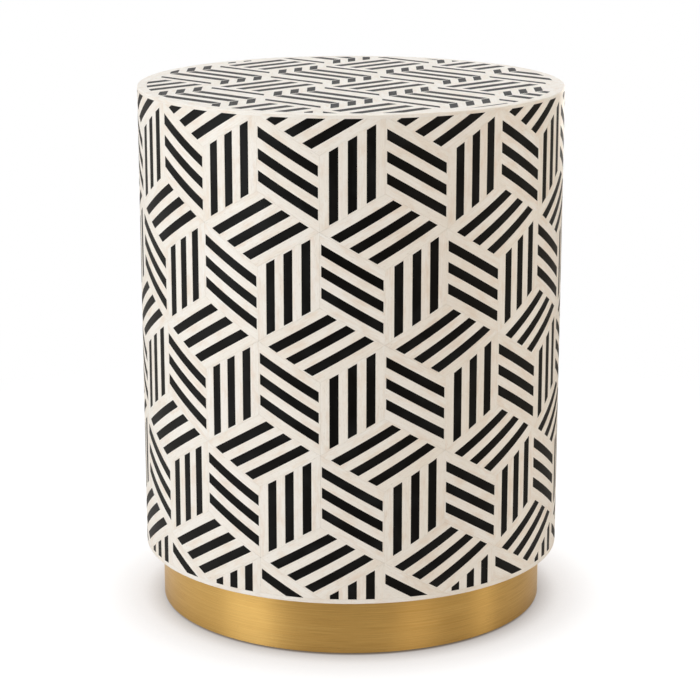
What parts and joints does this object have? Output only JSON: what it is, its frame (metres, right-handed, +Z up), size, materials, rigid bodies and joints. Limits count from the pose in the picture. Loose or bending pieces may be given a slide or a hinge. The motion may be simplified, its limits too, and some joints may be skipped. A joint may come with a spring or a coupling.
{
  "type": "drum stool",
  "caption": "Closed drum stool with a cream bone and black tumbling-block inlay on wall and seat, on a recessed plinth clad in brushed brass.",
  "frame": {"origin": "on the floor, under the drum's axis, at the level of the glides' undersides", "axes": "+Z up along the drum's axis; the pictured side faces -Y, and +X is to the right of the picture"},
  "size_m": [0.36, 0.36, 0.45],
  "materials": {
    "bone": "polished bone",
    "black_resin": "polished",
    "brass": "brushed",
    "board": "stained fibreboard",
    "plywood": "bare birch ply",
    "softwood": "planed",
    "steel": "zinc plated",
    "glide": "moulded"
  },
  "bodies": {
    "root": {"band_pins": "brass", "bottom_board": "board", "bottom_screws": "steel", "glide_1": "glide", "glide_2": "glide", "glide_3": "glide", "glide_4": "glide", "glide_5": "glide", "glide_6": "glide", "glide_nails": "steel", "lower_hoop": "plywood", "middle_hoop": "plywood", "plinth_band": "brass", "plinth_ring_lower": "board", "plinth_ring_upper": "board", "plinth_screws": "steel", "seat_board": "board", "seat_edge_border": "bone", "seat_screws": "steel", "seat_strips_left": "black_resin", "seat_strips_right": "black_resin", "seat_strips_top": "black_resin", "seat_strips_turned": "black_resin", "seat_tiles_left": "bone", "seat_tiles_right": "bone", "seat_tiles_top": "bone", "seat_tiles_turned": "bone", "upper_hoop": "plywood", "upright_1": "softwood", "upright_2": "softwood", "upright_3": "softwood", "upright_4": "softwood", "upright_5": "softwood", "upright_6": "softwood", "upright_screws": "steel", "wall_foot_border": "bone", "wall_ply_inner": "plywood", "wall_ply_outer": "plywood", "wall_strips_left": "black_resin", "wall_strips_right": "black_resin", "wall_strips_top": "black_resin", "wall_tiles_left": "bone", "wall_tiles_right": "bone", "wall_tiles_top": "bone"}
  },
  "joints": []
}
